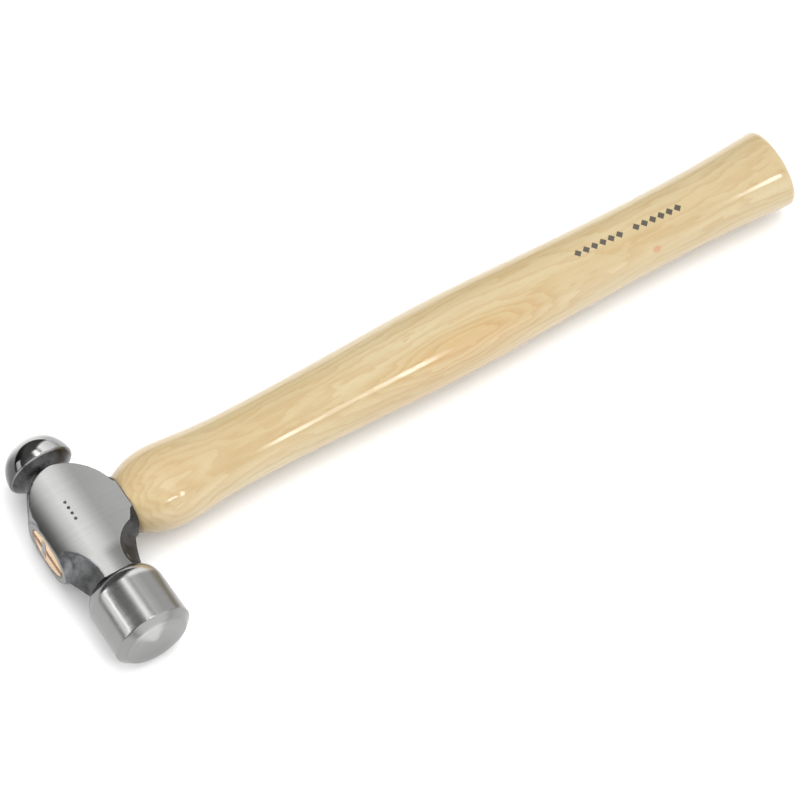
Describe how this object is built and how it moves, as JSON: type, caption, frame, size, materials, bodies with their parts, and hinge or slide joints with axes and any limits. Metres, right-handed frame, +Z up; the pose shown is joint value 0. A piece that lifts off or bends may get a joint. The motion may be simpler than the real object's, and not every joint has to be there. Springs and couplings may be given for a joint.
{
  "type": "ball peen hammer",
  "caption": "Ball peen hammer with a forged, ground steel head, round striking face and ball pein, on a shaped hickory handle held by a wooden and a steel wedge.",
  "frame": {"origin": "on the surface the hammer lies on, under the middle of its footprint", "axes": "the hammer lies on its side: +X from the head along the handle to the butt, +Y along the head from the striking face to the ball pein, +Z up through the cheeks"},
  "size_m": [0.3392, 0.101, 0.0328],
  "materials": {
    "head_steel": "forged steel, poll, cheeks and ball ground bright, flanks left darker",
    "handle_wood": "clear lacquered hickory, straight grain",
    "wedge_wood": "bare hardwood, end grain",
    "wedge_steel": "plain steel, driven flush"
  },
  "bodies": {
    "root": {"hammer_head": "head_steel", "handle": "handle_wood", "wooden_wedge": "wedge_wood", "steel_wedge": "wedge_steel"}
  },
  "joints": []
}
